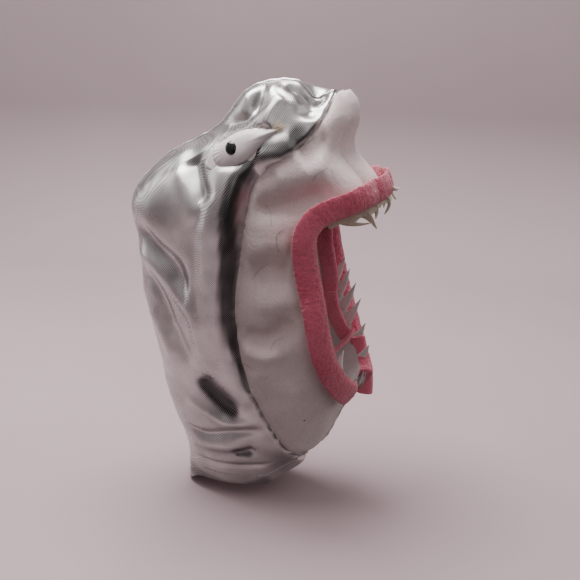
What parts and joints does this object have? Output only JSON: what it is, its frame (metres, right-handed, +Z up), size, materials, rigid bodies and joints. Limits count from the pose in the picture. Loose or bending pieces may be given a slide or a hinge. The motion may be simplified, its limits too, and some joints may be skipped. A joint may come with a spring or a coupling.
{
  "type": "shark head hand puppet",
  "caption": "Sewn cloth hand puppet shaped as a shark head, silver back and white felt face, mouth wide open, standing on its open hem.",
  "frame": {"origin": "on the floor, inside the hem opening, below the middle of the puppet's length and width", "axes": "+X the way the shark faces, +Y to its left, +Z up"},
  "size_m": [0.106, 0.0562, 0.1736],
  "materials": {
    "silver_cloth": "metallic foil knit",
    "white_felt": "brushed felt",
    "pink_felt": "brushed felt",
    "tooth_felt": "thin felt",
    "lining": "plain weave",
    "wadding": "loose fibre",
    "white_satin": "satin",
    "pupil_black": "gloss",
    "pale_thread": "thread",
    "pink_thread": "thread",
    "tan_thread": "frayed thread"
  },
  "bodies": {
    "sleeve": {"back_panel_right": "silver_cloth", "back_panel_left": "silver_cloth", "cheek_panel_right": "white_felt", "cheek_panel_left": "white_felt", "sleeve_padding_right": "wadding", "sleeve_padding_left": "wadding", "sleeve_lining_right": "lining", "sleeve_lining_left": "lining", "cheek_binding_right": "pink_felt", "cheek_binding_left": "pink_felt", "hem_facing_right": "silver_cloth", "hem_facing_left": "silver_cloth", "hem_stitches_right": "pale_thread", "hem_stitches_left": "pale_thread", "cheek_stitches_right": "pink_thread", "cheek_stitches_left": "pink_thread", "cheek_teeth_right": "tooth_felt", "cheek_teeth_left": "tooth_felt", "back_seam": "silver_cloth"},
    "snout": {"crown_panel_right": "silver_cloth", "crown_panel_left": "silver_cloth", "muzzle_panel_right": "white_felt", "muzzle_panel_left": "white_felt", "snout_padding_right": "wadding", "snout_padding_left": "wadding", "snout_lining_right": "lining", "snout_lining_left": "lining", "lip_binding_right": "pink_felt", "lip_binding_left": "pink_felt", "lip_stitches_right": "pink_thread", "lip_stitches_left": "pink_thread", "upper_teeth_right": "tooth_felt", "upper_teeth_left": "tooth_felt", "eye_backing_right": "white_felt", "eye_backing_left": "white_felt", "eye_pad_right": "white_satin", "eye_pad_left": "white_satin", "eye_pupil_right": "pupil_black", "eye_pupil_left": "pupil_black", "eye_tack_right": "tan_thread", "eye_tack_left": "tan_thread", "crown_seam": "silver_cloth", "muzzle_seam": "white_felt"},
    "chin": {"chin_panel_right": "white_felt", "chin_panel_left": "white_felt", "chin_padding_right": "wadding", "chin_padding_left": "wadding", "chin_lining_right": "lining", "chin_lining_left": "lining", "chin_binding_right": "pink_felt", "chin_binding_left": "pink_felt", "chin_stitches_right": "pink_thread", "chin_stitches_left": "pink_thread", "chin_seam": "white_felt"}
  },
  "joints": [
    {"name": "snout_tilt", "type": "hinge", "parent": "sleeve", "child": "snout", "pos_m": [0.02126, 0, 0.124], "axis": [0, 1, 0], "range_deg": [-8, 35]},
    {"name": "chin_tilt", "type": "hinge", "parent": "sleeve", "child": "chin", "pos_m": [-0.00274, 0, 0.068], "axis": [0, -1, 0], "range_deg": [-5, 12]}
  ]
}
